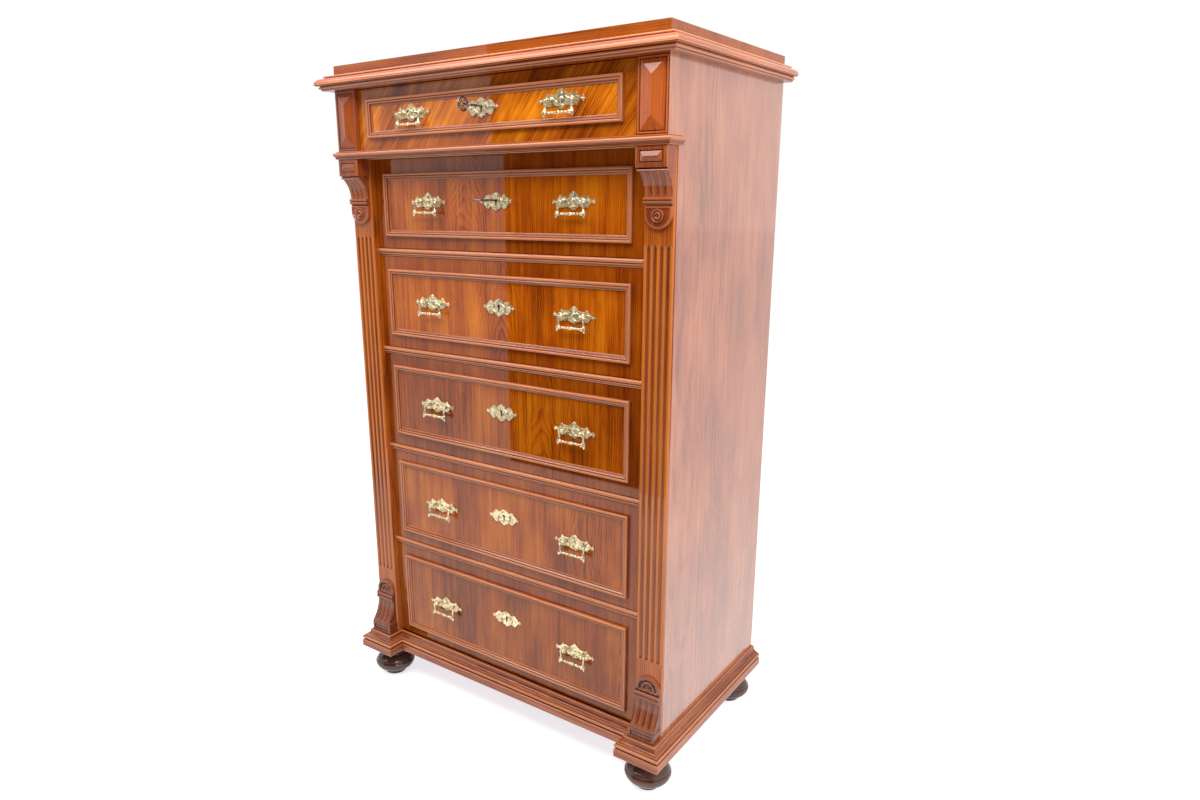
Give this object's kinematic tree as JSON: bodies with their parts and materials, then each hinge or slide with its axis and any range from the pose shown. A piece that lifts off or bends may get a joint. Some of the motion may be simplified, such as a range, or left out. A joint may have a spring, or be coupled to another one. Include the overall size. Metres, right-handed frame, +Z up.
{
  "type": "semainier chest of drawers",
  "caption": "Tall walnut chest of drawers with fluted pilasters, reeded corbels, moulded cornice and plinth, turned bun feet, brass bail handles and working locks.",
  "frame": {"origin": "on the floor under the centre of the overall box, keys included", "axes": "+Z up, the drawers face -Y, +X to the right when facing the front"},
  "size_m": [0.968, 0.591, 1.5975],
  "materials": {
    "walnut_veneer": "high-gloss french-polished walnut veneer, amber brown",
    "walnut_solid": "high-gloss polished solid walnut mouldings, reddish brown",
    "foot_walnut": "dark polished turned walnut",
    "secondary_wood": "plain pine, unpolished",
    "brass": "polished pale cast brass",
    "steel": "darkened steel"
  },
  "bodies": {
    "carcass": {"foot_front_left": "foot_walnut", "foot_front_right": "foot_walnut", "foot_back_left": "foot_walnut", "foot_back_right": "foot_walnut", "plinth_frame": "walnut_solid", "bottom_board": "secondary_wood", "side_panel_right": "walnut_veneer", "side_panel_left": "walnut_veneer", "back_panel": "secondary_wood", "divider_1": "secondary_wood", "divider_2": "secondary_wood", "divider_3": "secondary_wood", "divider_4": "secondary_wood", "divider_5": "secondary_wood", "drawer_runners": "secondary_wood", "mid_moulding": "walnut_solid", "frieze_block_right": "walnut_veneer", "frieze_block_left": "walnut_veneer", "pilaster_right": "walnut_solid", "pilaster_left": "walnut_solid", "capital_right": "walnut_solid", "capital_left": "walnut_solid", "pilaster_base_right": "walnut_solid", "pilaster_base_left": "walnut_solid", "cornice_moulding": "walnut_solid", "top_board": "walnut_veneer"},
    "drawer_1": {"drawer_1_front": "walnut_veneer", "drawer_1_box": "secondary_wood", "drawer_1_hardware": "brass"},
    "drawer_1_bail_left": {"drawer_1_bail_left": "brass"},
    "drawer_1_bail_right": {"drawer_1_bail_right": "brass"},
    "drawer_2": {"drawer_2_front": "walnut_veneer", "drawer_2_box": "secondary_wood", "drawer_2_hardware": "brass"},
    "drawer_2_bail_left": {"drawer_2_bail_left": "brass"},
    "drawer_2_bail_right": {"drawer_2_bail_right": "brass"},
    "drawer_3": {"drawer_3_front": "walnut_veneer", "drawer_3_box": "secondary_wood", "drawer_3_hardware": "brass"},
    "drawer_3_bail_left": {"drawer_3_bail_left": "brass"},
    "drawer_3_bail_right": {"drawer_3_bail_right": "brass"},
    "drawer_4": {"drawer_4_front": "walnut_veneer", "drawer_4_box": "secondary_wood", "drawer_4_hardware": "brass"},
    "drawer_4_bail_left": {"drawer_4_bail_left": "brass"},
    "drawer_4_bail_right": {"drawer_4_bail_right": "brass"},
    "drawer_5": {"drawer_5_front": "walnut_veneer", "drawer_5_box": "secondary_wood", "drawer_5_hardware": "brass"},
    "drawer_5_bail_left": {"drawer_5_bail_left": "brass"},
    "drawer_5_bail_right": {"drawer_5_bail_right": "brass"},
    "drawer_6": {"drawer_6_front": "walnut_veneer", "drawer_6_box": "secondary_wood", "drawer_6_hardware": "brass"},
    "drawer_6_bail_left": {"drawer_6_bail_left": "brass"},
    "drawer_6_bail_right": {"drawer_6_bail_right": "brass"},
    "key_1": {"key_1": "steel"},
    "lock_bolt_1": {"lock_bolt_1": "steel"},
    "key_2": {"key_2": "steel"},
    "lock_bolt_2": {"lock_bolt_2": "steel"}
  },
  "joints": [
    {"name": "drawer_1_slide", "type": "slide", "parent": "carcass", "child": "drawer_1", "axis": [0, -1, 0], "range_m": [0, 0.36]},
    {"name": "drawer_1_bail_left_hinge", "type": "hinge", "parent": "drawer_1", "child": "drawer_1_bail_left", "pos_m": [-0.207, -0.2335, 1.48], "axis": [-1, 0, 0], "range_deg": [0, 85]},
    {"name": "drawer_1_bail_right_hinge", "type": "hinge", "parent": "drawer_1", "child": "drawer_1_bail_right", "pos_m": [0.207, -0.2335, 1.48], "axis": [-1, 0, 0], "range_deg": [0, 85]},
    {"name": "drawer_2_slide", "type": "slide", "parent": "carcass", "child": "drawer_2", "axis": [0, -1, 0], "range_m": [0, 0.36]},
    {"name": "drawer_2_bail_left_hinge", "type": "hinge", "parent": "drawer_2", "child": "drawer_2_bail_left", "pos_m": [-0.207, -0.1945, 1.288], "axis": [-1, 0, 0], "range_deg": [0, 85]},
    {"name": "drawer_2_bail_right_hinge", "type": "hinge", "parent": "drawer_2", "child": "drawer_2_bail_right", "pos_m": [0.207, -0.1945, 1.288], "axis": [-1, 0, 0], "range_deg": [0, 85]},
    {"name": "drawer_3_slide", "type": "slide", "parent": "carcass", "child": "drawer_3", "axis": [0, -1, 0], "range_m": [0, 0.36]},
    {"name": "drawer_3_bail_left_hinge", "type": "hinge", "parent": "drawer_3", "child": "drawer_3_bail_left", "pos_m": [-0.207, -0.1945, 1.0535], "axis": [-1, 0, 0], "range_deg": [0, 85]},
    {"name": "drawer_3_bail_right_hinge", "type": "hinge", "parent": "drawer_3", "child": "drawer_3_bail_right", "pos_m": [0.207, -0.1945, 1.0535], "axis": [-1, 0, 0], "range_deg": [0, 85]},
    {"name": "drawer_4_slide", "type": "slide", "parent": "carcass", "child": "drawer_4", "axis": [0, -1, 0], "range_m": [0, 0.36]},
    {"name": "drawer_4_bail_left_hinge", "type": "hinge", "parent": "drawer_4", "child": "drawer_4_bail_left", "pos_m": [-0.207, -0.1945, 0.801], "axis": [-1, 0, 0], "range_deg": [0, 85]},
    {"name": "drawer_4_bail_right_hinge", "type": "hinge", "parent": "drawer_4", "child": "drawer_4_bail_right", "pos_m": [0.207, -0.1945, 0.801], "axis": [-1, 0, 0], "range_deg": [0, 85]},
    {"name": "drawer_5_slide", "type": "slide", "parent": "carcass", "child": "drawer_5", "axis": [0, -1, 0], "range_m": [0, 0.36]},
    {"name": "drawer_5_bail_left_hinge", "type": "hinge", "parent": "drawer_5", "child": "drawer_5_bail_left", "pos_m": [-0.207, -0.1945, 0.536], "axis": [-1, 0, 0], "range_deg": [0, 85]},
    {"name": "drawer_5_bail_right_hinge", "type": "hinge", "parent": "drawer_5", "child": "drawer_5_bail_right", "pos_m": [0.207, -0.1945, 0.536], "axis": [-1, 0, 0], "range_deg": [0, 85]},
    {"name": "drawer_6_slide", "type": "slide", "parent": "carcass", "child": "drawer_6", "axis": [0, -1, 0], "range_m": [0, 0.36]},
    {"name": "drawer_6_bail_left_hinge", "type": "hinge", "parent": "drawer_6", "child": "drawer_6_bail_left", "pos_m": [-0.207, -0.1945, 0.2595], "axis": [-1, 0, 0], "range_deg": [0, 85]},
    {"name": "drawer_6_bail_right_hinge", "type": "hinge", "parent": "drawer_6", "child": "drawer_6_bail_right", "pos_m": [0.207, -0.1945, 0.2595], "axis": [-1, 0, 0], "range_deg": [0, 85]},
    {"name": "key_1_turn", "type": "hinge", "parent": "drawer_1", "child": "key_1", "pos_m": [0, -0.2215, 1.482], "axis": [0, 1, 0], "range_deg": [0, 180]},
    {"name": "lock_bolt_1_throw", "type": "slide", "parent": "drawer_1", "child": "lock_bolt_1", "axis": [0, 0, 1], "range_m": [0, 0.008]},
    {"name": "key_2_turn", "type": "hinge", "parent": "drawer_2", "child": "key_2", "pos_m": [0, -0.1825, 1.292], "axis": [0, 1, 0], "range_deg": [-90, 90]},
    {"name": "lock_bolt_2_throw", "type": "slide", "parent": "drawer_2", "child": "lock_bolt_2", "axis": [0, 0, 1], "range_m": [-0.006, 0.006]}
  ],
  "couplings": [
    {"joint": "key_1_turn", "follows": "lock_bolt_1_throw", "rad_per_m": 392.7},
    {"joint": "key_2_turn", "follows": "lock_bolt_2_throw", "rad_per_m": 261.8}
  ]
}
